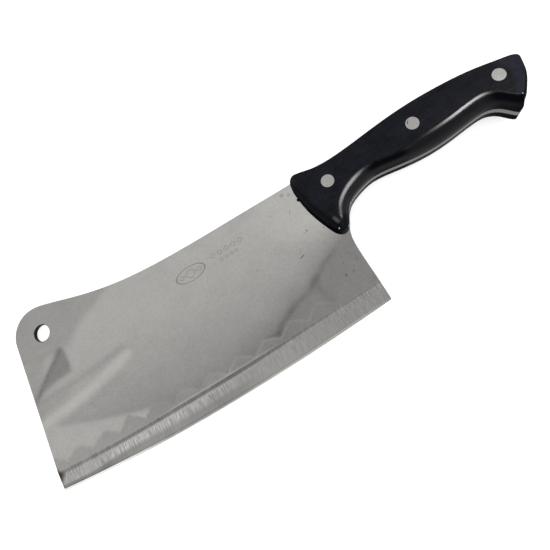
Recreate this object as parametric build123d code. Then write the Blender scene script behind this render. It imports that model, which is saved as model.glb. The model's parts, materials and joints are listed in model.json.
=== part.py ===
from build123d import *
import math
import os

# Meat cleaver with a full tang, two riveted handle scales and a hanging hole.
# It lies flat: +X runs from the hanging hole towards the butt of the handle,
# +Y towards the spine and +Z out of the left face of the blade.
# The origin is the centre of the hanging hole, halfway through the steel.
# Everything is in millimetres.

# ---- blade and tang: one plate ----
STEEL_THICK = 3.0
HALF_STEEL = STEEL_THICK / 2
HOLE_RADIUS = 5.0
HOLE_CHAMFER = 0.35
NOSE_RADIUS = 15.9            # the rounded top corner around the hanging hole
NOSE_CENTRE = (-1.4, 0.3)
NOSE_SPINE_ANGLE = 95.0       # where the nose arc meets the spine, from +X
NOSE_FRONT_ANGLE = 177.3      # where it meets the straight front end
FRONT_CORNER_X = -21.1        # lower front corner
HEEL_CORNER_X = 178.35        # lower rear corner
HEEL_CORNER_RADIUS = 0.6
EDGE_LOWEST = (66.0, -88.45)  # the cutting edge is two long, shallow arcs that meet here
EDGE_RADII = (930.0, 1400.0)  # in front of that point and behind it
SPINE = (
    (171.0, -2.9), (150.0, -2.85), (119.0, -2.3), (86.0, -1.25), (56.0, 1.7), (30.0, 7.6), (10.0, 14.0)
)
SPINE_SLOPE = 0.06            # of the spine where it comes out of the handle
HEEL = ((178.2, -75.0), (177.9, -60.0), (178.0, -50.0), (178.7, -45.2), (181.2, -39.6))

# ---- grinding of the edge ----
BEVEL_LOWEST = (45.0, -76.0)  # the upper limit of the ground bevel is flatter than the edge
BEVEL_RADII = (1100.0, 2900.0)
BEHIND_EDGE = (0.53, 0.25, 0.57)     # half thickness that the grinding leaves at front, middle and heel
EDGE_HALF = 0.04              # half thickness of the honed edge itself
HONE_ANGLE = 20.0             # each side of the middle plane
HONE_REACH = 4.0
HONE_PAST = 0.5
BEVEL_STEPS = 8
OVERRUN = 4.0                 # how far the cutting shapes pass the blade's ends and edge
HEADROOM = 2.0                # how far they stand above its faces

# ---- handle scales ----
SCALE_THICK = 7.05
FACE_Z = HALF_STEEL + SCALE_THICK
SHOULDER_RISE = 3.4           # height of the rounded shoulder below the flat face
SHOULDER_POWER = 1.5          # 2 is a quarter of an ellipse; less turns faster beside the flat face
SHOULDER_STEPS = 12
# Each row is a point of the handle's outline, then the point of the flat
# face's rim that the rounded shoulder climbs to from there.
HANDLE_EDGE = (
    # top corner at the blade and down the front end
    (170.2, -2.0, 170.6, -3.3),
    (167.0, -2.7, 168.4, -4.3),
    (165.4, -5.2, 168.0, -6.8),
    (165.2, -10.0, 169.0, -10.8),
    (166.1, -19.0, 171.6, -19.0),
    (168.4, -28.2, 174.6, -26.8),
    (171.3, -36.2, 176.5, -31.0),
    # tip
    (174.4, -41.1, 177.4, -33.2),
    (177.3, -42.2, 178.0, -33.6),
    (180.2, -40.7, 178.7, -32.6),
    # belly
    (183.1, -36.0, 180.6, -29.4),
    (187.6, -30.5, 184.9, -25.3),
    (195.0, -26.9, 192.8, -21.1),
    (203.8, -24.9, 203.4, -19.3),
    (214.0, -25.7, 213.6, -20.9),
    (226.0, -27.6, 226.0, -22.1),
    (239.5, -28.5, 239.0, -21.6),
    (253.0, -27.6, 251.6, -20.8),
    (264.5, -26.4, 263.2, -19.5),
    (271.0, -26.8, 270.6, -19.6),
    (275.8, -29.3, 276.2, -22.4),
    (280.6, -34.7, 282.2, -28.8),
    # lower corner of the butt
    (282.6, -36.1, 284.2, -30.3),
    (284.2, -34.5, 285.4, -30.4),
    # butt
    (287.1, -31.9, 286.9, -29.3),
    (289.8, -28.7, 288.2, -27.8),
    (294.5, -21.6, 292.8, -20.9),
    (296.6, -14.6, 294.9, -14.4),
    # upper corner of the butt
    (296.8, -11.5, 295.1, -12.1),
    (295.2, -9.9, 294.1, -11.1),
    # top
    (289.4, -8.1, 289.0, -9.4),
    (273.0, -4.5, 272.8, -5.8),
    (256.0, -2.5, 255.9, -3.8),
    (238.0, -1.8, 238.0, -3.1),
    (216.0, -3.0, 216.1, -4.3),
    (194.0, -4.8, 194.1, -6.1),
    (179.0, -4.1, 179.0, -5.4),
)

HANDLE_CORNERS = (8, 22, 29)    # rows at the tip and at the two corners of the butt

# ---- cutler's rivets: a tube half from the right, a post half from the left ----
RIVETS = {
    "front": (182.7, -15.75),
    "middle": (234.3, -13.4),
    "rear": (282.2, -15.75),
}
HEAD_RADIUS = 3.6
HEAD_THICK = 1.2
HEAD_BREAK = 0.15
TUBE_RADIUS = 2.5
POST_RADIUS = 1.5
POST_SLACK = 0.02
RIVET_SLACK = 0.05            # clearance of each half in its hole
TUBE_END_GAP = 0.5            # left between the tube's end and the post's head

# ---- bead of resin squeezed out at the front of the left scale ----
BEAD = ((165.2, -13.5, 1.05), (165.7, -15.05, 0.5))    # x, y, radius
BEAD_RISE = 0.8               # height of the bead over its radius


def arc_y(x, lowest, radii):
    """Height at x of a curve of two arcs that meet, level, at the given lowest point."""
    radius = radii[0] if x < lowest[0] else radii[1]
    return lowest[1] + radius - math.sqrt(radius ** 2 - (x - lowest[0]) ** 2)


def edge_point(x):
    return x, arc_y(x, EDGE_LOWEST, EDGE_RADII)


def edge_arc(x):
    """The cutting edge from its lowest point to x."""
    return ThreePointArc(EDGE_LOWEST, edge_point((x + EDGE_LOWEST[0]) / 2), edge_point(x))


def nose_point(angle):
    turn = math.radians(angle)
    return (
        NOSE_CENTRE[0] + NOSE_RADIUS * math.cos(turn),
        NOSE_CENTRE[1] + NOSE_RADIUS * math.sin(turn),
    )


def handle_wire(share=0.0):
    """Outline of the handle, moved by the given share towards the flat face's rim."""
    run = [0.0]
    for here, there in zip(HANDLE_EDGE, HANDLE_EDGE[1:] + HANDLE_EDGE[:1]):
        run.append(run[-1] + math.dist(here[:2], there[:2]))
    points = [Vector(x + (fx - x) * share, y + (fy - y) * share) for x, y, fx, fy in HANDLE_EDGE]
    loop = Edge.make_spline(points, parameters=run, periodic=True)
    cuts = [0.0] + [run[i] / run[-1] for i in HANDLE_CORNERS] + [1.0]
    return Wire([loop.trim(cuts[i], cuts[i + 1]) for i in range(len(cuts) - 1)])


def rivet_holes(radius, bottom, top):
    holes = [
        Pos(x, y, bottom) * Cylinder(radius, top - bottom, align=(Align.CENTER, Align.CENTER, Align.MIN))
        for x, y in RIVETS.values()
    ]
    return holes


def blade_plate():
    """The blade's flat blank, up to where it disappears between the scales."""
    spine_start, front_start = nose_point(NOSE_SPINE_ANGLE), nose_point(NOSE_FRONT_ANGLE)
    crown = math.radians(NOSE_SPINE_ANGLE - 90)
    heel_corner = edge_point(HEEL_CORNER_X)
    spine = Spline(*SPINE, spine_start, tangents=((-1, -SPINE_SLOPE), (-math.cos(crown), -math.sin(crown))))
    nose = ThreePointArc(spine_start, nose_point((NOSE_SPINE_ANGLE + NOSE_FRONT_ANGLE) / 2), front_start)
    front = Line(front_start, edge_point(FRONT_CORNER_X))
    heel = Spline(heel_corner, *HEEL)
    inside = Line(HEEL[-1], SPINE[0])
    sides = (spine, nose, front, edge_arc(FRONT_CORNER_X), edge_arc(HEEL_CORNER_X), heel, inside)
    outline = Face(Wire([side.edge() for side in sides]))
    blank = extrude(Pos(0, 0, -HALF_STEEL) * outline, STEEL_THICK)
    corner = blank.edges().filter_by(Axis.Z).sort_by_distance((*heel_corner, 0))[0]
    return fillet(corner, HEEL_CORNER_RADIUS)


def bevel_cutter():
    """What the grinding wheel takes off the left face, as a loft of sections along the blade."""
    sections = []
    for step in range(BEVEL_STEPS + 1):
        along = step / BEVEL_STEPS
        x = FRONT_CORNER_X - OVERRUN + (HEEL_CORNER_X - FRONT_CORNER_X + 2 * OVERRUN) * along
        top, low = arc_y(x, BEVEL_LOWEST, BEVEL_RADII), edge_point(x)[1]
        front, middle, heel = BEHIND_EDGE
        end = front if along < 0.5 else heel
        behind = middle + (end - middle) * (2 * along - 1) ** 2
        slope = (HALF_STEEL - behind) / (top - low)
        corners = (
            (x, top, HALF_STEEL),
            (x, low - OVERRUN, behind - slope * OVERRUN),
            (x, low - OVERRUN, HALF_STEEL + HEADROOM),
            (x, top, HALF_STEEL + HEADROOM),
        )
        sections.append(Face(Wire.make_polygon(corners)))
    return loft(sections)


def hone_cutter():
    """The steeper strip that the honing takes off beside the edge, turned about each edge arc's centre."""
    rise = math.tan(math.radians(HONE_ANGLE))
    rings = []
    for radius, end_x in zip(EDGE_RADII, (FRONT_CORNER_X - OVERRUN, HEEL_CORNER_X + OVERRUN)):
        section = Face(Wire.make_polygon((
            (0, -radius + HONE_REACH, EDGE_HALF + rise * HONE_REACH),
            (0, -radius - HONE_PAST, EDGE_HALF - rise * HONE_PAST),
            (0, -radius - HONE_PAST, HALF_STEEL + HEADROOM),
            (0, -radius + HONE_REACH, HALF_STEEL + HEADROOM),
        )))
        turn = math.degrees(math.asin((end_x - EDGE_LOWEST[0]) / radius))
        ring = revolve(Rot(0, 0, min(turn, 0)) * section, axis=Axis.Z, revolution_arc=abs(turn))
        rings.append(Pos(EDGE_LOWEST[0], EDGE_LOWEST[1] + radius, 0) * ring)
    return rings


def blade():
    """Blade and full tang, ground, honed and drilled."""
    tang = extrude(Pos(0, 0, -HALF_STEEL) * Face(handle_wire()), STEEL_THICK)
    steel = blade_plate() + tang
    for cutter in [bevel_cutter()] + hone_cutter():
        steel = steel - cutter - mirror(cutter, about=Plane.XY)
    steel -= Cylinder(HOLE_RADIUS, 2 * STEEL_THICK)
    rims = steel.edges().filter_by(GeomType.CIRCLE)
    rims = rims.filter_by(lambda rim: abs(rim.radius - HOLE_RADIUS) < 0.01 and rim.is_closed)
    steel = chamfer(rims, HOLE_CHAMFER)
    for hole in rivet_holes(TUBE_RADIUS + RIVET_SLACK, -STEEL_THICK, STEEL_THICK):
        steel -= hole
    return steel


def left_scale():
    """Scale on the left face: straight sides, a wide rounded shoulder and a flat face."""
    shoulder_z = FACE_Z - SHOULDER_RISE
    wall = extrude(Pos(0, 0, HALF_STEEL) * Face(handle_wire()), shoulder_z - HALF_STEEL)
    sections = []
    for step in range(SHOULDER_STEPS + 1):
        away = math.cos(math.pi / 2 * step / SHOULDER_STEPS) ** 2    # from the rim, as a share
        height = shoulder_z + SHOULDER_RISE * math.sqrt(1 - away ** SHOULDER_POWER)
        sections.append(Face(Pos(0, 0, height) * handle_wire(1 - away)))
    scale = wall + loft(sections)
    for hole in rivet_holes(TUBE_RADIUS + RIVET_SLACK, 0, FACE_Z + HEADROOM):
        scale -= hole
    for recess in rivet_holes(HEAD_RADIUS + RIVET_SLACK, FACE_Z - HEAD_THICK, FACE_Z + HEADROOM):
        scale -= recess
    return scale


def rivet_head():
    head = Cylinder(HEAD_RADIUS, HEAD_THICK, align=(Align.CENTER, Align.CENTER, Align.MAX))
    return chamfer(head.edges().group_by(Axis.Z)[-1], HEAD_BREAK)


def rivet_post(x, y):
    """Half with the solid post, its head flush with the left scale."""
    length = 2 * FACE_Z - 2 * HEAD_THICK - TUBE_END_GAP
    post = Cylinder(POST_RADIUS, length, align=(Align.CENTER, Align.CENTER, Align.MAX))
    return Pos(x, y, FACE_Z) * (rivet_head() + Pos(0, 0, -HEAD_THICK) * post)


def rivet_tube(x, y):
    """Half with the tube that the post is driven into, its head flush with the right scale."""
    length = 2 * FACE_Z - 2 * HEAD_THICK - TUBE_END_GAP
    tube = Cylinder(TUBE_RADIUS, length, align=(Align.CENTER, Align.CENTER, Align.MIN))
    bore = Cylinder(POST_RADIUS + POST_SLACK, length, align=(Align.CENTER, Align.CENTER, Align.MIN))
    half = mirror(rivet_head(), about=Plane.XY) + Pos(0, 0, HEAD_THICK) * (tube - bore)
    return Pos(x, y, -FACE_Z) * half


def resin_bead(handle_scale):
    """Small lumps on the steel, pressed against the front end of the scale."""
    lumps = []
    for x, y, radius in BEAD:
        dome = Sphere(radius, arc_size1=0, arc_size2=90, align=(Align.CENTER, Align.CENTER, Align.MIN))
        lumps.append(Pos(x, y, HALF_STEEL) * scale(dome, by=(1, 1, BEAD_RISE)) - handle_scale)
    return Compound([solid for lump in lumps for solid in lump.solids()])


left = left_scale()
nodes = {
    "blade": blade(),
    "left_scale": left,
    "right_scale": mirror(left, about=Plane.XY),
    "resin_bead": resin_bead(left),
}
for place, (x, y) in RIVETS.items():
    nodes[place + "_rivet_post"] = rivet_post(x, y)
    nodes[place + "_rivet_tube"] = rivet_tube(x, y)

os.makedirs("parts", exist_ok=True)
for name, shape in nodes.items():
    export_step(shape, f"parts/{name}.step")
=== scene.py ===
import json
import math

import bpy
import numpy as np
from mathutils import Matrix, Vector


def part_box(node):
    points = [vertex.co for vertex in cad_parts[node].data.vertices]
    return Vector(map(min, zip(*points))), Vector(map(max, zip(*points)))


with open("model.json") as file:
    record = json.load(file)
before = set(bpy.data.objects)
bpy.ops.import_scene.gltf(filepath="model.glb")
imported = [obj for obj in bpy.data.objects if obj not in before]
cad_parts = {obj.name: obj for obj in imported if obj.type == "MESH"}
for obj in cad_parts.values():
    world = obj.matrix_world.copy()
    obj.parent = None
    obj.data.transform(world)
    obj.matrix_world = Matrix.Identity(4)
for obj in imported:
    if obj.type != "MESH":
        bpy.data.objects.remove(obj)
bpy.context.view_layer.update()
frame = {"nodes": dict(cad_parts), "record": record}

MM = 0.001                      # in metres, which the scene is in

# ---- camera, in the part's frame ----
CAMERA_AT = Vector((0.152884, -0.103032, 0.224537))
CAMERA_AIM = Vector((0.133797, -0.042171, 0.0))
CAMERA_UP = Vector((0.51644, 0.83658, 0.18286))     # what points up in the picture
CAMERA_LENS = 28.8                                  # in mm, before a sensor 36 mm wide

# ---- features of the CAD part, in mm ----
# the two curves along the blade: x and y of their lowest points, and their radii in front of and behind them
BEVEL_TOP = (45.0, -76.0, 1100.0, 2900.0)
CUTTING_EDGE = (66.0, -88.45, 930.0, 1400.0)
STEEL_TOP = 1.5                 # z of the blade's left face
SCALE_TOP = 8.55                # z of the left scale's flat face
SCALE_FRONT = 2.8               # length of the rounding at the front of a scale
HOLE_RADIUS = 5.0               # of the hanging hole, whose centre is the origin

# ---- looks of the blade ----
FIRST_TOOTH_X = -13.0           # in mm, where the first tooth of the satin band starts
TOOTH_PITCH = 16.7              # in mm, from tooth to tooth
STEEL_REFLECTANCE = 0.60


class Field:
    """A number that varies over a surface, made of shader nodes, with the usual arithmetic."""

    def __init__(self, shader, socket):
        self.shader = shader
        self.socket = socket

    def __add__(self, other):
        return self.shader.math("ADD", self, other)

    def __radd__(self, other):
        return self.shader.math("ADD", other, self)

    def __sub__(self, other):
        return self.shader.math("SUBTRACT", self, other)

    def __rsub__(self, other):
        return self.shader.math("SUBTRACT", other, self)

    def __mul__(self, other):
        return self.shader.math("MULTIPLY", self, other)

    def __rmul__(self, other):
        return self.shader.math("MULTIPLY", other, self)

    def __truediv__(self, other):
        return self.shader.math("DIVIDE", self, other)

    def __abs__(self):
        return self.shader.math("ABSOLUTE", self)


class Shader:
    """A material with a Principled BSDF, and short names for the nodes that feed it.

    Its x, y and z are those of the place on the surface, in mm, in the part's frame.
    """

    def __init__(self, name):
        self.material = bpy.data.materials.new(name)
        self.material.use_nodes = True
        self.tree = self.material.node_tree
        self.bsdf = self.tree.nodes["Principled BSDF"]
        place = self.tree.nodes.new("ShaderNodeTexCoord").outputs["Object"]
        split = self.tree.nodes.new("ShaderNodeSeparateXYZ")
        self.tree.links.new(place, split.inputs[0])
        self.x, self.y, self.z = (Field(self, split.outputs[axis]) / MM for axis in "XYZ")

    def put(self, socket, value):
        if isinstance(value, Field):
            self.tree.links.new(value.socket, socket)
        elif isinstance(value, bpy.types.NodeSocket):
            self.tree.links.new(value, socket)
        else:
            socket.default_value = value

    def math(self, operation, *values):
        node = self.tree.nodes.new("ShaderNodeMath")
        node.operation = operation
        for socket, value in zip(node.inputs, values):
            self.put(socket, value)
        return Field(self, node.outputs[0])

    def fade(self, value, start, end, low=0.0, high=1.0):
        """Goes smoothly from low, where the value is at start, to high, where it is at end."""
        node = self.tree.nodes.new("ShaderNodeMapRange")
        node.interpolation_type = "SMOOTHSTEP"
        for socket, number in zip(node.inputs, (value, start, end, low, high)):
            self.put(socket, number)
        return Field(self, node.outputs[0])

    def span(self, value, start, full, last, end):
        """Rises from 0 at start to 1 at full, and falls from 1 at last to 0 at end."""
        return self.fade(value, start, full) * self.fade(value, end, last)

    def vector(self, x, y, z):
        node = self.tree.nodes.new("ShaderNodeCombineXYZ")
        for socket, value in zip(node.inputs, (x, y, z)):
            self.put(socket, value)
        return node.outputs[0]

    def noise(self, x, y, z, scale=1.0, detail=2.0, roughness=0.5, distortion=0.0):
        """Noise from about -1 to 1 around 0."""
        node = self.tree.nodes.new("ShaderNodeTexNoise")
        self.put(node.inputs["Vector"], self.vector(x, y, z))
        node.inputs["Scale"].default_value = scale
        node.inputs["Detail"].default_value = detail
        node.inputs["Roughness"].default_value = roughness
        node.inputs["Distortion"].default_value = distortion
        return (Field(self, node.outputs[0]) - 0.5) * 2.0

    def specks(self, x, y, z, size, share, scale):
        """Small dots of about the given size, in the given share of a scattered grid's cells."""
        node = self.tree.nodes.new("ShaderNodeTexVoronoi")
        self.put(node.inputs["Vector"], self.vector(x, y, z))
        node.inputs["Scale"].default_value = scale
        colour = self.tree.nodes.new("ShaderNodeSeparateColor")
        self.tree.links.new(node.outputs["Color"], colour.inputs[0])
        chosen = self.fade(Field(self, colour.outputs[0]), share, share * 0.8)
        reach = Field(self, colour.outputs[1]) * (size * scale) + size * scale * 0.4
        return chosen * self.fade(Field(self, node.outputs["Distance"]) / reach, 1.0, 0.4)

    def most(self, *fields):
        """The largest of the fields, place by place."""
        total = fields[0]
        for field in fields[1:]:
            total = self.math("MAXIMUM", total, field)
        return total

    def colour(self, factor, low, high):
        """From one colour to another as the factor goes from 0 to 1."""
        node = self.tree.nodes.new("ShaderNodeMix")
        node.data_type = "RGBA"
        self.put(node.inputs["Factor"], factor)
        self.put(node.inputs["A"], low if isinstance(low, bpy.types.NodeSocket) else (*low, 1.0))
        self.put(node.inputs["B"], high if isinstance(high, bpy.types.NodeSocket) else (*high, 1.0))
        return node.outputs["Result"]

    def scaled(self, colour, factor):
        """The colour made lighter or darker by the factor."""
        node = self.tree.nodes.new("ShaderNodeVectorMath")
        node.operation = "SCALE"
        self.put(node.inputs[0], colour)
        self.put(node.inputs["Scale"], factor)
        return node.outputs[0]

    def bump(self, height, depth_mm):
        """Relief of the given depth where the height goes from 0 to 1."""
        node = self.tree.nodes.new("ShaderNodeBump")
        node.inputs["Distance"].default_value = depth_mm * MM
        self.put(node.inputs["Height"], height)
        self.tree.links.new(node.outputs[0], self.bsdf.inputs["Normal"])

    def set(self, **values):
        """Sets inputs of the Principled BSDF, named with underscores."""
        for name, value in values.items():
            self.put(self.bsdf.inputs[name.replace("_", " ")], value)


def curve_y(shader, curve):
    """y of one of the two curves along the blade at the surface's x, with parabolas for its arcs."""
    x0, y0, front, behind = curve
    from_low = shader.x - x0
    rise = from_low * from_low
    return y0 + rise * shader.fade(from_low, -0.1, 0.1, 0.5 / front, 0.5 / behind)


def dot(shader, x, y, radius, soft=0.5):
    """1 inside a spot at x, y and 0 outside."""
    dx, dy = shader.x - x, shader.y - y
    far = shader.math("SQRT", dx * dx + dy * dy)
    return shader.fade(far, radius * (1 + soft), radius * (1 - soft))


def ring(shader, x, y, radius, width, stretch=1.0):
    """1 on a thin ring round x, y, which stretch makes an oval along X."""
    dx, dy = (shader.x - x) / stretch, shader.y - y
    far = shader.math("SQRT", dx * dx + dy * dy)
    return shader.fade(abs(far - radius), width, width * 0.3)


def line(shader, start, end, width, soft=0.7):
    """1 on a thin straight line from start to end."""
    (x0, y0), (x1, y1) = start, end
    length = math.hypot(x1 - x0, y1 - y0)
    ux, uy = (x1 - x0) / length, (y1 - y0) / length
    dx, dy = shader.x - x0, shader.y - y0
    along = dx * ux + dy * uy
    across = abs(dy * ux - dx * uy)
    inside = shader.fade(abs(along - length / 2), length / 2 + width, length / 2)
    return inside * shader.fade(across, width, width * (1.0 - soft))


def satin_band(s, bevel, on_bevel):
    """Toothed band that the grinding leaves above the bevel: its place, its shade and its bright lines."""
    x, y = s.x, s.y
    phase = (x - FIRST_TOOTH_X + s.noise(x, 0.0, 0.0, scale=0.05) * 0.8) / TOOTH_PITCH
    tooth = abs(s.math("SINE", phase * math.pi)) * 0.55 + s.math("PINGPONG", phase * 2.0, 1.0) * 0.45
    valley = 1.6 + s.fade(x, 80.0, 30.0) * 1.6 + s.fade(x, 105.0, 125.0) * 1.2
    rise = 4.8 + s.noise(x, 0.0, 3.0, scale=0.06) * 2.0
    ragged = s.noise(x, y, 5.0, scale=0.3, detail=3.0)
    below_limit = bevel + (valley + tooth * rise + ragged)
    soft = s.fade(x, 20.0, 70.0, 1.5, 0.9)
    band = s.fade(below_limit / soft, -1.0, 1.0) * (1.0 - on_bevel)
    darker = s.fade(x, 75.0, 30.0) * 0.19 + s.span(x, 85.0, 100.0, 110.0, 140.0) * 0.09
    outline = s.span(below_limit, -0.5, 0.5, 1.0, 2.4) * s.span(x, 75.0, 95.0, 135.0, 165.0)
    rim = s.fade(bevel, -1.1, -0.5) * s.span(x, 40.0, 60.0, 104.0, 122.0) * (1.0 - on_bevel)
    return band, darker, outline * 0.11 + rim * 0.30


def ground_bevel(s, bevel, edge, layer):
    """Coarse grinding lines across the bevel, strongest towards the front, and the bevel's tone."""
    x, y = s.x, s.y
    across = x - y * 0.05
    grind = s.noise(across * 2.3, y * 0.14, layer, detail=2.0, roughness=0.7)
    grind = s.fade(grind, -0.38, 0.38, -1.0, 1.0)
    broad = s.noise(across * 0.13, y * 0.02, layer, detail=1.0) * s.fade(x, 95.0, 40.0, 0.3, 1.0)

    # dark shoulder along the bevel's upper limit, and the bright crest below it
    shoulder_depth = s.fade(x, 95.0, 140.0, 2.5, 1.5)
    shoulder = s.fade(bevel, -0.1, 0.3) * s.fade(bevel / shoulder_depth, 1.0, 0.6)
    shoulder_shade = s.fade(x, -14.0, 30.0, 0.34, 0.50) * s.fade(x, 160.0, 118.0, 0.55, 1.0)
    crest_depth = s.fade(x, 30.0, 110.0, 7.2, 3.6)
    crest = s.fade(bevel, 1.6, 2.8) * s.fade(bevel / crest_depth, 1.0, 0.7)
    crest = crest * s.span(x, -2.0, 26.0, 88.0, 130.0)

    # darker foot, and the honed edge with a dark line above it
    foot_height = s.fade(x, -8.0, 25.0, 3.6, 6.6)
    foot = s.fade(edge / foot_height, 1.0, 0.6) * s.fade(x, 112.0, 75.0)
    foot_shade = s.fade(x, 5.0, 30.0, 0.38, 0.27)
    honed = s.fade(edge, 1.3, 1.0)
    above_hone = s.fade(edge, 1.9, 1.4) * (1.0 - honed)

    strength = (s.fade(x, 105.0, 60.0, 0.18, 0.36) + crest * 0.18) * s.fade(bevel, 8.5, 3.5, 0.45, 1.0)
    strength = strength * (1.0 - foot * 0.5) * (1.0 - shoulder * 0.6)
    towards_heel = s.fade(x, 78.0, 125.0) * 0.17 - s.fade(x, 140.0, 168.0) * 0.04
    # painted highlight: the honed edge is made up to about twice as bright towards the front
    towards_front = honed * s.fade(x, 50.0, 5.0) * 1.1 - s.fade(x, 20.0, -10.0) * 0.08
    tone = 1.0 + grind * strength + broad * 0.14 + crest * 0.14 + towards_heel + towards_front
    return grind, tone - shoulder * shoulder_shade - foot * foot_shade - above_hone * 0.20


def handling_marks(s):
    """Small dark marks on the left face, most of them near the handle."""
    return s.most(
        ring(s, 158.6, -6.2, 0.72, 0.34) * 0.8,
        dot(s, 162.0, -8.1, 0.8, soft=0.9) * 0.5,
        line(s, (158.1, -16.2), (157.2, -18.0), 0.45) * 0.5,
        dot(s, 160.3, -30.7, 0.55) * 0.9,
        dot(s, 158.9, -31.0, 0.4) * 0.6,
        line(s, (149.9, -42.1), (152.2, -41.5), 0.50),
        line(s, (152.4, -37.0), (151.5, -40.4), 0.35) * 0.35,
        dot(s, 126.9, -35.4, 0.45) * 0.6,
        dot(s, 147.7, -13.2, 0.5) * 0.4,
        dot(s, 165.6, -61.9, 0.7) * 0.8,
        dot(s, 170.0, -62.2, 0.8) * 0.4,
        dot(s, 167.4, -56.1, 0.4) * 0.6,
        dot(s, 174.5, -57.6, 1.0, soft=0.8) * 0.3,
        dot(s, 168.8, -34.1, 0.5) * 0.5,
        dot(s, 12.3, -51.2, 0.55) * 0.4,
    )


def blade_steel():
    """Ground stainless sheet: semi-polished faces, a satin band above the bevels, coarsely ground bevels."""
    s = Shader("blade_steel")
    x, y, z = s.x, s.y, s.z
    bevel = curve_y(s, BEVEL_TOP) - y               # mm below the bevel's upper limit
    edge = y - curve_y(s, CUTTING_EDGE)             # mm above the cutting edge
    on_bevel = s.fade(bevel, -0.15, 0.15)
    layer = s.fade(z, -0.05, 0.05, -13.0, 13.0)     # keeps the two faces' patterns apart

    # polishing lines along the blade, clouding and fine scratches
    lines = s.noise(x * 0.035, y * 2.4, layer, detail=3.0, roughness=0.7)
    clouds = s.noise(x, y, layer, scale=0.07, detail=5.0, roughness=0.7)
    grain = s.noise(x, y, layer, scale=0.8, detail=2.0)
    slant = s.noise(x * 0.5 + y * 0.5, x * 0.05 - y * 0.05, layer, scale=3.0, detail=2.0)
    scratches = s.fade(slant, 0.30, 0.55) * s.fade(clouds, -0.1, 0.3)
    face_tone = 1.0 + lines * 0.07 + clouds * 0.13 + grain * 0.12 + scratches * 0.06

    band, darker, bright_lines = satin_band(s, bevel, on_bevel)
    face_tone = face_tone * (1.0 - band * darker) + bright_lines
    grind, bevel_tone = ground_bevel(s, bevel, edge, layer)

    # wear: tiny pits, marks, a heat stain at the bevel's front end and a faint one at the heel
    left_face = s.fade(z, 0.2, 0.6)
    pits = s.specks(x, y, layer, 0.35, 0.10, 0.16) * 0.30
    marks = handling_marks(s) * 0.50 * left_face
    dark = s.most(pits, marks, etched_ornament(s) * 0.42 * left_face)
    stain = s.fade(x + abs(y + 76.4) * 0.85, -15.6, -19.2) * (0.9 + grind * 0.2)
    heel_stain = s.fade(x, 172.0, 177.0) * s.fade(abs(y + 70.5), 4.0, 1.5) * s.fade(grain + lines, -0.1, 0.6)

    # the sawn sides of the plate, palest along the handle behind the guard and with painted shade below the
    # guard and along the blade, and the wall of its hole, painted near black as shade
    side = s.fade(abs(z), STEEL_TOP - 0.02, STEEL_TOP - 0.08) * s.fade(bevel, -0.5, -1.5)
    # painted shade: the sides darken to 0.4 of their colour below the guard and along the blade
    painted_side_shade = s.fade(x, 193.0, 186.0, 1.0, 0.40)
    from_hole = s.math("SQRT", x * x + y * y)
    # painted shade: the hanging hole's wall is coloured near black
    painted_hole_shade = s.fade(from_hole, HOLE_RADIUS + 0.12, HOLE_RADIUS + 0.04)

    tone = (face_tone * (1.0 - on_bevel) + bevel_tone * on_bevel) * (1.0 - dark)
    steel = s.scaled(s.colour(0.5 + clouds * 0.5, (0.612, 0.606, 0.595), (0.588, 0.583, 0.573)), tone)
    steel = s.colour(stain * 0.92, steel, (0.035, 0.020, 0.012))
    steel = s.colour(heel_stain * 0.4, steel, (0.16, 0.11, 0.07))
    steel = s.colour(side, steel, s.scaled(s.vector(0.46, 0.455, 0.44), painted_side_shade))
    steel = s.colour(painted_hole_shade, steel, (0.03, 0.028, 0.025))
    polish = 0.07 + lines * 0.02 + grain * 0.015 + clouds * 0.02
    satin = band * s.fade(x, 105.0, 145.0, 0.20, 0.05)
    ground = s.fade(x, 110.0, 160.0, 0.34, 0.24) + grind * 0.04
    rough = polish * (1.0 - on_bevel) + satin + on_bevel * ground + dark * 0.3 + side * 0.3
    s.set(Base_Color=steel, Metallic=1.0, Roughness=rough)
    wave = s.noise(x, y, layer, scale=0.018, detail=1.0)
    s.bump(wave + lines * 0.004 * (1.0 - on_bevel) + grind * 0.10 * on_bevel, 0.10)
    return s.material


def etched_ornament(s):
    """Plain etched ornament: an oval with three lozenges in it, and two rows of small lozenges."""
    x, y = s.x, s.y
    oval_x, oval_y = 94.0, -17.0

    def lozenge(cx, cy, half_width, half_height, width):
        size = abs(x - cx) / half_width + abs(y - cy) / half_height
        return s.fade(abs(size - 1.0) * half_height, width, width * 0.3)

    shapes = [ring(s, oval_x, oval_y, 4.1, 0.32, stretch=2.2), lozenge(oval_x, oval_y, 3.4, 2.7, 0.32)]
    shapes += [lozenge(oval_x + side, oval_y, 1.5, 1.3, 0.30) for side in (-5.6, 5.6)]
    shapes += [lozenge(109.5 + 4.3 * i, -15.0, 1.5, 1.5, 0.30) for i in range(5)]
    shapes += [lozenge(113.0 + 3.2 * i, -19.3, 0.9, 0.9, 0.26) for i in range(4)]
    return s.most(*shapes)


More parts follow.
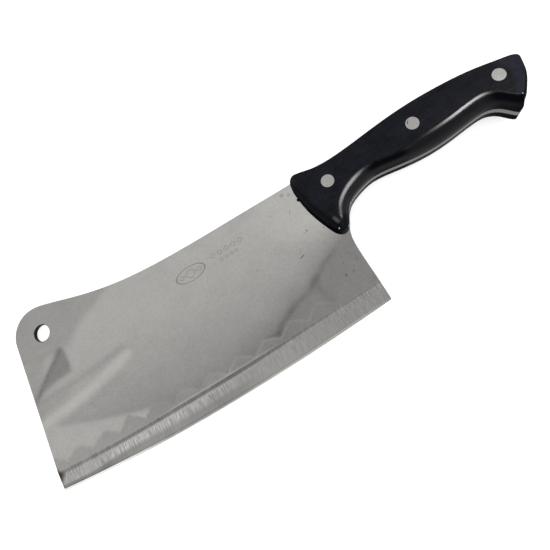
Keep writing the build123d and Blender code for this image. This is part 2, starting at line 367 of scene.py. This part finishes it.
def handle_plastic():
    """Black moulded plastic: sanded flat faces, buffed shoulders and dull walls."""
    s = Shader("handle_plastic")
    x, y, z = s.x, s.y, s.z
    # the flat outer faces, where the shading goes over softly into the front's rounding
    flat = s.fade(abs(z), s.fade(x, 176.0, 182.0, 7.4, SCALE_TOP - 0.022), SCALE_TOP - 0.003)

    # sanding lines along the handle, clouding, scuffs and grit, a paler butt, and painted glints at tip and
    # butt with a short painted highlight on the tip
    lines = s.noise(x * 0.05, y * 2.2, z * 2.0, detail=3.0, roughness=0.7)
    clouds = s.noise(x, y, z, scale=0.12, detail=4.0, roughness=0.6)
    scuffs = s.fade(s.noise(x * 0.12, y * 1.1, z, detail=3.0), 0.25, 0.60)
    butt = s.fade(x + abs(y + 18.0) * 0.5, 286.0, 291.0)
    grit = s.noise(x * 0.7, y * 1.5, z, detail=2.0, roughness=0.7)
    # painted glints at the tip and the butt, and a short painted highlight on the tip's rounding
    painted_glints = s.most(
        dot(s, 174.8, -40.4, 0.30),
        dot(s, 285.0, -30.7, 0.28),
        dot(s, 175.3, -34.9, 0.75, soft=1.0) * 0.11,
        dot(s, 175.7, -36.1, 0.75, soft=1.0) * 0.14,
        dot(s, 176.1, -37.3, 0.75, soft=1.0) * 0.11,
    )
    sanding = lines * 0.9 + grit * 0.8 + scuffs * 0.8 + butt * 1.2
    tone = 1.0 + sanding * flat + clouds * (0.25 + flat * 0.55)

    # the belly's shoulder is buffed below the guard and before the butt, and dull between and behind them
    buffed = s.most(s.span(x, 175.5, 178.5, 193.5, 203.0), s.span(x, 226.0, 252.0, 266.0, 275.0))
    dull = s.most(s.span(x, 203.0, 207.0, 221.0, 226.0), s.span(x, 271.0, 277.0, 283.5, 285.5))
    front = s.fade(x, 180.0, 174.0)
    above_tip = s.fade(y, -37.5, -33.0, 0.15, 1.0)

    # painted sheen: the walls are paler in places beside the shoulders' highlights, and a painted reflection
    # of the floor lightens the shoulders' lower rims
    painted_sheen = s.most(
        s.fade(x, 206.0, 199.0) * (1.0 - front * s.fade(abs(z), 8.45, 8.0, 0.25, 0.95)) * above_tip,
        s.span(x, 221.0, 227.0, 268.0, 275.0) * 0.5,
    )
    black = s.colour(painted_sheen, (0.0030, 0.0032, 0.0042), (0.0175, 0.0179, 0.0208))
    # painted reflection of the floor on the lower rims of the shoulders
    rim = s.fade(abs(z), 7.8, 6.4) * s.fade(abs(z), 4.6, 6.0, 0.40, 1.0) * (1.0 - front * 0.9) * above_tip
    black = s.colour(rim * s.fade(x, 282.0, 262.0, 0.4, 1.0), black, (0.0200, 0.0202, 0.0215))
    black = s.colour(flat, black, (0.0080, 0.0086, 0.0127))
    gloss = 0.03 - dull * 0.024 + front * 0.03 + buffed * s.fade(abs(z), 6.0, 7.6) * 0.33
    gloss = gloss * (1.0 - front * s.fade(abs(z), 7.0, 5.5)) * (1.0 - flat) + flat * 0.085
    s.set(
        Base_Color=s.colour(painted_glints, s.scaled(black, tone), (0.55, 0.57, 0.62)),
        Roughness=0.15 + flat * 0.09 + lines * 0.06 * flat + clouds * 0.03,
        Specular_IOR_Level=gloss,
    )
    s.bump(lines * flat + clouds * 0.6, 0.012)
    return s.material


def rivet_metal():
    """Rivet heads sanded flush with the scales, with the sanding lines along the handle."""
    s = Shader("rivet_metal")
    x, y, z = s.x, s.y, s.z
    lines = s.noise(x * 0.25, y * 3.5, z, detail=3.0, roughness=0.7)
    clouds = s.noise(x, y, z, scale=0.5, detail=3.0)
    dent = line(s, (232.1, -12.5), (232.9, -11.2), 0.45) * s.fade(z, 7.0, 8.0)
    pits = s.most(s.specks(x, y, z, 0.28, 0.12, 0.9) * 0.3, dent)
    # painted shade: the colour is darker towards the rear rivet
    tone = (s.fade(x, 225.0, 272.0, 0.83, 0.70) + lines * 0.08 + clouds * 0.08) * (1.0 - pits * 0.85)
    s.set(
        Base_Color=s.scaled(s.colour(0.5 + clouds * 0.5, (0.66, 0.645, 0.63), (0.60, 0.59, 0.575)), tone),
        Metallic=1.0,
        Roughness=0.24 + lines * 0.04 + pits * 0.3,
    )
    s.bump(lines * 0.3, 0.02)
    return s.material


def bonding_resin():
    """Cured black resin, matte and a little uneven."""
    s = Shader("bonding_resin")
    bumps = s.noise(s.x, s.y, s.z, scale=1.4, detail=3.0)
    s.set(
        Base_Color=s.colour(0.5 + bumps * 0.5, (0.004, 0.004, 0.005), (0.010, 0.009, 0.009)),
        Roughness=0.45 + bumps * 0.1,
        Specular_IOR_Level=0.06,
    )
    s.bump(bumps, 0.03)
    return s.material


def dress():
    """Gives each CAD node the material of its slot in the record."""
    looks = {
        "blade_steel": blade_steel(),
        "handle_plastic": handle_plastic(),
        "rivet_metal": rivet_metal(),
        "bonding_resin": bonding_resin(),
    }
    for part in frame["record"]["subparts"]:
        node = frame["nodes"][part["node"]]
        node.data.materials.clear()
        node.data.materials.append(looks[part["material_slot"]])


# ---- studio ----
CARD_HEIGHT = 0.15                  # of the card above the blade, in metres
CARD_REACH = ((-90.0, 400.0), (-240.0, 62.0))       # x and y, in mm, of the places that mirror it
CARD_PITCH = 1.0                    # in mm, between those places
LAMP_REACH = {"guard_lamp": (192.0, 232.0), "butt_lamp": (227.0, 276.0)}    # x, as for the card
LAMP_REACH_Y = (-79.0, -28.0)       # y, for both lamps
LAMP_PITCH = 1.5
GUARD_LAMP_LIGHT = 17.0
BUTT_LAMP_LIGHT = 25.0
FLOOR_SIZE = 6.0                    # in metres
FLOOR_GLOW = 0.60                   # keeps the cleaver's shadow on the floor faint
FLOOR_MIRRORED = 0.42               # the floor's light where the cleaver mirrors it
ROOM_DARKENS = (0.70, 0.90)         # z of the mirrored directions between which the room darkens
ROOM_LIGHT = (0.85, 0.30)           # the mirrored room's light below and above them


def light_for(shown):
    """Light that steel must reflect to be shown at this level of 255."""
    return ((shown / 255 + 0.055) / 1.055) ** 2.4 / STEEL_REFLECTANCE


def smooth(t):
    """Goes from 0 to 1 as t does, with level ends."""
    t = np.clip(t, 0.0, 1.0)
    return t * t * (3 - 2 * t)


def distance(px, py, stretches):
    """How far each place is from the nearest of some straight stretches, given by their ends."""
    nearest = np.full(px.shape, 1e9)
    for (x0, y0), (x1, y1) in stretches:
        dx, dy = x1 - x0, y1 - y0
        along = np.clip(((px - x0) * dx + (py - y0) * dy) / (dx * dx + dy * dy), 0, 1)
        nearest = np.minimum(nearest, np.hypot(px - x0 - along * dx, py - y0 - along * dy))
    return nearest


def stroke(px, py, points, half_width, soft):
    """1 within half_width of a line through the points, with soft limits."""
    nearest = distance(px, py, zip(points, points[1:]))
    return smooth(0.5 - (nearest - half_width) / (2 * soft))


def patch(px, py, points, soft):
    """1 inside a closed outline, with soft limits."""
    inside = np.zeros(px.shape, bool)
    loop = list(zip(points, points[1:] + points[:1]))
    for (x0, y0), (x1, y1) in loop:
        crosses = (y0 > py) != (y1 > py)
        at = x0 + (py - y0) * (x1 - x0) / ((y1 - y0) or 1e-9)
        inside ^= crosses & (px < at)
    nearest = distance(px, py, loop)
    return smooth(0.5 + np.where(inside, nearest, -nearest) / (2 * soft))


def card_levels(px, py):
    """The card's light where the places px, py of the blade, in mm, mirror it."""
    # the plain ceiling, shaded from beyond the cutting edge to beyond the spine
    heights = (-175, -120, -95, -75, -66, -56, -45, -30, -10, 30)
    tones = (160, 152, 126, 131, 143, 150, 157, 165, 169, 166)
    tone = np.interp(py, heights, tones)

    def over(mask, level):
        nonlocal tone
        tone = tone + (level - tone) * mask

    # the ceiling's darker corner beyond the hanging hole, and what lies left of it
    beyond_hole = [(-90, 70), (75, 70), (47, 3), (31, -3), (21, -8), (12, -15), (-2, -10), (-90, 0)]
    over(patch(px, py, beyond_hole, 2.5), 151)
    over(patch(px, py, [(-90, -12), (-4, -13), (-15, -32), (-16, -46), (-90, -58)], 2.5), 152)
    over(stroke(px, py, [(-30, -7), (-8, -12), (4, -13)], 1.5, 2.5), 143)
    # a dark flag with darker edges
    flag = [(-16.5, -34), (4.5, -13.5), (7.5, -12.5), (8.8, -16), (8.0, -28.8), (-5, -30), (-11, -31.5)]
    over(patch(px, py, flag, 0.6), 130)
    over(stroke(px, py, [(-18, -34.5), (-8, -25.2), (6.4, -13.8)], 0.8, 0.9), 90)
    over(stroke(px, py, [(7.0, -15), (7.6, -22), (7.1, -27.5)], 0.5, 0.7), 104)
    # window streaks
    over(stroke(px, py, [(-60, -40), (-16, -36.5), (20, -35), (41, -32.5)], 1.4, 1.4), 147)
    over(stroke(px, py, [(-60, -44), (-16, -41), (0, -39.5)], 0.8, 2.0), 148)
    over(stroke(px, py, [(-70, -58), (-18, -48.5), (16, -44.0), (42, -38.0)], 2.8, 1.5), 178)
    over(stroke(px, py, [(-2, -53), (14, -50), (36, -45.5)], 0.2, 1.8), 146)
    below = [(-8, -53.8), (0, -56.5), (9.5, -60.2), (25.8, -65.3), (39.1, -69.2), (44, -71.6)]
    over(stroke(px, py, below, 0.6, 2.7), 142)
    over(patch(px, py, [(-90, -43), (-16, -50.5)] + below + [(46, -90), (-90, -90)], 0.7), 169)
    # a lighter corner beside the handle
    over(patch(px, py, [(146, 40), (186, 40), (176, -40), (150, -30), (140, -14)], 8.0), 176)
    # the darker wall beyond the heel
    heel_side = [
        (100, -74), (118, -69), (126.5, -65.2), (131.8, -62.9), (136.5, -60.4), (145.7, -58.6),
        (150.4, -56.0), (157.7, -50.6), (166.9, -47.0), (174, -43), (196, -35),
    ]
    over(stroke(px, py, [(x, y - 1) for x, y in heel_side], 0.5, 15.0), 114)
    over(patch(px, py, heel_side + [(215, -112), (96, -112)], 1.6), 128)
    over(stroke(px, py, [(x, y - 1) for x, y in heel_side[2:9]], 0.7, 1.5), 105)
    over(stroke(px, py, [(122.5, -67.6), (128.5, -64.6), (133.5, -61.9)], 0.8, 1.8), 98)
    dark_end = [(113.5, -68.7), (118, -69.8), (121.5, -68), (124, -67.4), (120.3, -73), (116.5, -71.5)]
    over(patch(px, py, dark_end, 1.0), 95)
    over(stroke(px, py, [(149, -57.2), (151.3, -55.4)], 1.2, 2.0), 88)
    over(stroke(px, py, [(150, -58), (151, -64), (153, -70)], 1.2, 2.4), 115)
    # what the bevel faces
    over(patch(px, py, [(-120, -88), (70, -88), (110, -130), (-120, -130)], 6.0), 166)
    over(patch(px, py, [(-120, -130), (70, -130), (110, -190), (-120, -190)], 8.0), 205)
    # over the handle's flat face, and the dark room that its belly faces
    over_handle = smooth((px - 186) / 14)
    level = light_for(tone)
    level += (0.56 + 0.12 * smooth((px - 240) / 40) - level) * over_handle
    dark_room = smooth((-34 - py) / 6) * smooth((px - 190) / 10)
    return level + (0.10 - level) * dark_room


def lamp_levels(px, py):
    """Light of the two soft lamps that the buffed parts of the belly's shoulder mirror."""
    guard = [(197, -50), (200, -43), (216, -43), (225, -52), (223, -66), (214, -72), (203, -66)]
    before_butt = [(232, -51), (270, -52), (270, -37), (232, -36)]
    guard_ramp = 1 - 0.57 * smooth((px + py - 149) / 7) - 0.15 * smooth((px + py - 160) / 10)
    butt_ramp = 0.13 + 0.87 * np.clip((px - 238) / 16, 0, 1) ** 1.3
    by_guard = GUARD_LAMP_LIGHT * patch(px, py, guard, 5.0) * guard_ramp
    by_butt = BUTT_LAMP_LIGHT * patch(px, py, before_butt, 5.0) * butt_ramp
    return by_guard + by_butt


def sheet_light(name, sampling):
    """Slightly warm light, as strong as the mesh's stored level."""
    material = bpy.data.materials.new(name)
    material.use_nodes = True
    tree = material.node_tree
    tree.nodes.clear()
    read = tree.nodes.new("ShaderNodeAttribute")
    read.attribute_name = "level"
    shine = tree.nodes.new("ShaderNodeEmission")
    shine.inputs["Color"].default_value = (1.0, 0.993, 0.975, 1.0)
    out = tree.nodes.new("ShaderNodeOutputMaterial")
    tree.links.new(read.outputs["Fac"], shine.inputs["Strength"])
    tree.links.new(shine.outputs[0], out.inputs[0])
    material.cycles.emission_sampling = sampling
    return material


def sheet(name, xs, ys, levels, height, sampling):
    """Flat sheet above the cleaver, seen only in reflections.

    The camera sees it mirrored in the plane of the blade's left face, and levels gives its light
    for each place of that plane.
    """
    grid_x, grid_y = np.meshgrid(xs, ys)
    level = levels(grid_x, grid_y)
    spread = height / (CAMERA_AT.z - STEEL_TOP * MM)
    mirrored_x = grid_x * MM + (grid_x * MM - CAMERA_AT.x) * spread
    mirrored_y = grid_y * MM + (grid_y * MM - CAMERA_AT.y) * spread
    sheet_z = height + STEEL_TOP * MM
    places = [(x, y, sheet_z) for x, y in zip(mirrored_x.ravel(), mirrored_y.ravel())]
    wide, high = len(xs), len(ys)
    faces = [
        (j * wide + i, j * wide + i + 1, (j + 1) * wide + i + 1, (j + 1) * wide + i)
        for j in range(high - 1)
        for i in range(wide - 1)
    ]
    mesh = bpy.data.meshes.new(name)
    mesh.from_pydata(places, [], faces)
    stored = mesh.attributes.new("level", "FLOAT", "POINT")
    stored.data.foreach_set("value", level.ravel().astype(np.float32))
    mesh.materials.append(sheet_light(name, sampling))
    made = bpy.data.objects.new(name, mesh)
    bpy.context.scene.collection.objects.link(made)
    made.visible_camera = False
    made.visible_diffuse = False
    made.visible_shadow = False
    made.visible_transmission = False
    made.visible_volume_scatter = False


def reflections():
    """The card that the blade and the handle reflect, and the lamps just below it."""
    card_x, card_y = (np.arange(*ends, CARD_PITCH) for ends in CARD_REACH)
    sheet("card", card_x, card_y, card_levels, CARD_HEIGHT, "NONE")
    lamp_y = np.arange(*LAMP_REACH_Y, LAMP_PITCH)
    for name, ends in LAMP_REACH.items():
        lamp_x = np.arange(*ends, LAMP_PITCH)
        sheet(name, lamp_x, lamp_y, lamp_levels, CARD_HEIGHT - MM, "FRONT_BACK")


def floor_white():
    """White for the camera, and darker where the cleaver mirrors it."""
    material = bpy.data.materials.new("floor")
    material.use_nodes = True
    tree = material.node_tree
    bsdf = tree.nodes["Principled BSDF"]
    bsdf.inputs["Base Color"].default_value = (0.82, 0.82, 0.82, 1.0)
    bsdf.inputs["Roughness"].default_value = 0.9
    bsdf.inputs["Specular IOR Level"].default_value = 0.0
    bsdf.inputs["Emission Color"].default_value = (1.0, 1.0, 1.0, 1.0)
    bsdf.inputs["Emission Strength"].default_value = FLOOR_GLOW
    mirrored = tree.nodes.new("ShaderNodeEmission")
    mirrored.inputs["Strength"].default_value = FLOOR_MIRRORED
    path = tree.nodes.new("ShaderNodeLightPath")
    choose = tree.nodes.new("ShaderNodeMixShader")
    tree.links.new(path.outputs["Is Glossy Ray"], choose.inputs[0])
    tree.links.new(bsdf.outputs[0], choose.inputs[1])
    tree.links.new(mirrored.outputs[0], choose.inputs[2])
    tree.links.new(choose.outputs[0], tree.nodes["Material Output"].inputs[0])
    material.cycles.emission_sampling = "NONE"
    return material


def floor():
    """Pale floor that touches the blade's front end and the right scale's front rim."""
    rim_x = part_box("right_scale")[0].x + SCALE_FRONT * MM
    rim_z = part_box("right_scale")[0].z
    front_x, front_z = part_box("blade")[0].x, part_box("blade")[0].z
    tilt = math.atan2(front_z - rim_z, rim_x - front_x)
    half = FLOOR_SIZE / 2
    mesh = bpy.data.meshes.new("floor")
    corners = [(-half, -half, 0), (half, -half, 0), (half, half, 0), (-half, half, 0)]
    mesh.from_pydata(corners, [], [(0, 1, 2, 3)])
    made = bpy.data.objects.new("floor", mesh)
    bpy.context.scene.collection.objects.link(made)
    made.matrix_world = Matrix.Translation((rim_x, 0, rim_z)) @ Matrix.Rotation(tilt, 4, "Y")
    mesh.materials.append(floor_white())


def surroundings():
    """White all round, and in reflections a room that is darker overhead than at the sides."""
    world = bpy.data.worlds.new("studio")
    bpy.context.scene.world = world
    world.use_nodes = True
    world.cycles.sampling_method = "NONE"
    tree = world.node_tree
    back = tree.nodes["Background"]
    path = tree.nodes.new("ShaderNodeLightPath")
    place = tree.nodes.new("ShaderNodeTexCoord")
    split = tree.nodes.new("ShaderNodeSeparateXYZ")
    tree.links.new(place.outputs["Generated"], split.inputs[0])
    height = tree.nodes.new("ShaderNodeMapRange")
    height.interpolation_type = "SMOOTHSTEP"
    for socket, value in zip(height.inputs[1:5], (*ROOM_DARKENS, *ROOM_LIGHT)):
        socket.default_value = value
    tree.links.new(split.outputs["Z"], height.inputs[0])
    choose = tree.nodes.new("ShaderNodeMix")
    choose.inputs["A"].default_value = 1.0
    tree.links.new(path.outputs["Is Glossy Ray"], choose.inputs["Factor"])
    tree.links.new(height.outputs[0], choose.inputs["B"])
    tree.links.new(choose.outputs["Result"], back.inputs["Strength"])
    back.inputs["Color"].default_value = (1.0, 1.0, 1.0, 1.0)


def camera():
    """Camera above the cutting edge, near the heel, looking down and a little towards the spine."""
    data = bpy.data.cameras.new("camera")
    data.lens = CAMERA_LENS
    data.sensor_width = 36.0
    data.clip_start = 0.01
    data.clip_end = 20.0
    made = bpy.data.objects.new("camera", data)
    bpy.context.scene.collection.objects.link(made)
    back = (CAMERA_AT - CAMERA_AIM).normalized()
    right = CAMERA_UP.cross(back).normalized()
    up = back.cross(right)
    turn = Matrix((right, up, back)).transposed().to_4x4()
    made.matrix_world = Matrix.Translation(CAMERA_AT) @ turn
    bpy.context.scene.camera = made


dress()
floor()
reflections()
surroundings()
camera()
bpy.context.scene.view_settings.view_transform = "Standard"
